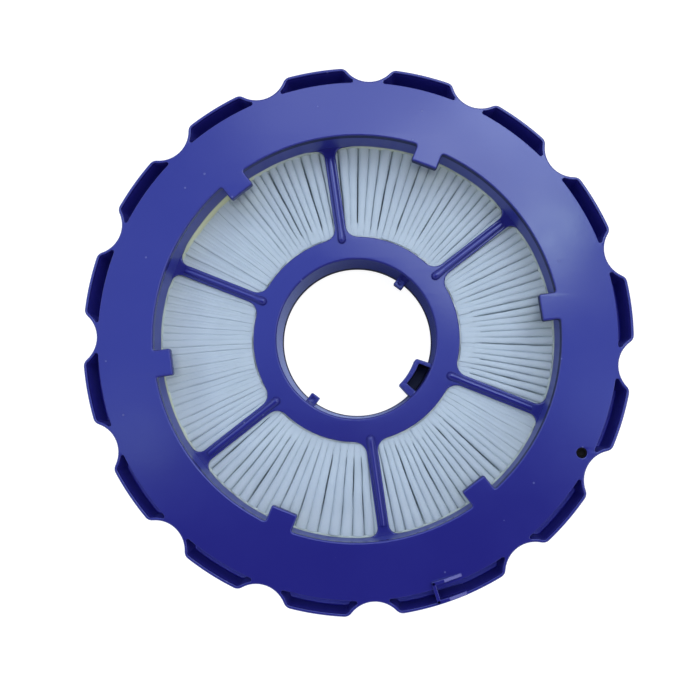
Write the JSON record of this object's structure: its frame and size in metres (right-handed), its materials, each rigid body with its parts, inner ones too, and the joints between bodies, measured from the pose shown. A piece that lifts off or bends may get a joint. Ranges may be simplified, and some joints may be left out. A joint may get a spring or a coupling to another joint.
{
  "type": "round pleated vacuum cleaner exhaust filter",
  "caption": "Round pleated exhaust filter: lobed grip ring, spoked front grille with a central bore, folded white media and rubber seals.",
  "frame": {"origin": "on the bore axis, in the plane of the rear seal's lower edge, on which the filter lies", "axes": "+Z along the bore axis from the rear seal to the grip face; +X towards the picture's right and +Y towards its top"},
  "size_m": [0.1896, 0.1897, 0.0335],
  "materials": {
    "blue_plastic": "moulded gloss",
    "filter_media": "matt non-woven sheet",
    "potting_adhesive": "cured adhesive",
    "seal_rubber": "matt",
    "plug_rubber": "matt"
  },
  "bodies": {
    "root": {"grip_ring": "blue_plastic", "filter_body": "blue_plastic", "pleated_media": "filter_media", "outer_potting": "potting_adhesive", "inner_potting": "potting_adhesive", "rear_grille": "blue_plastic", "outer_seal": "seal_rubber", "bore_seal": "seal_rubber", "face_plug": "plug_rubber"}
  },
  "joints": []
}
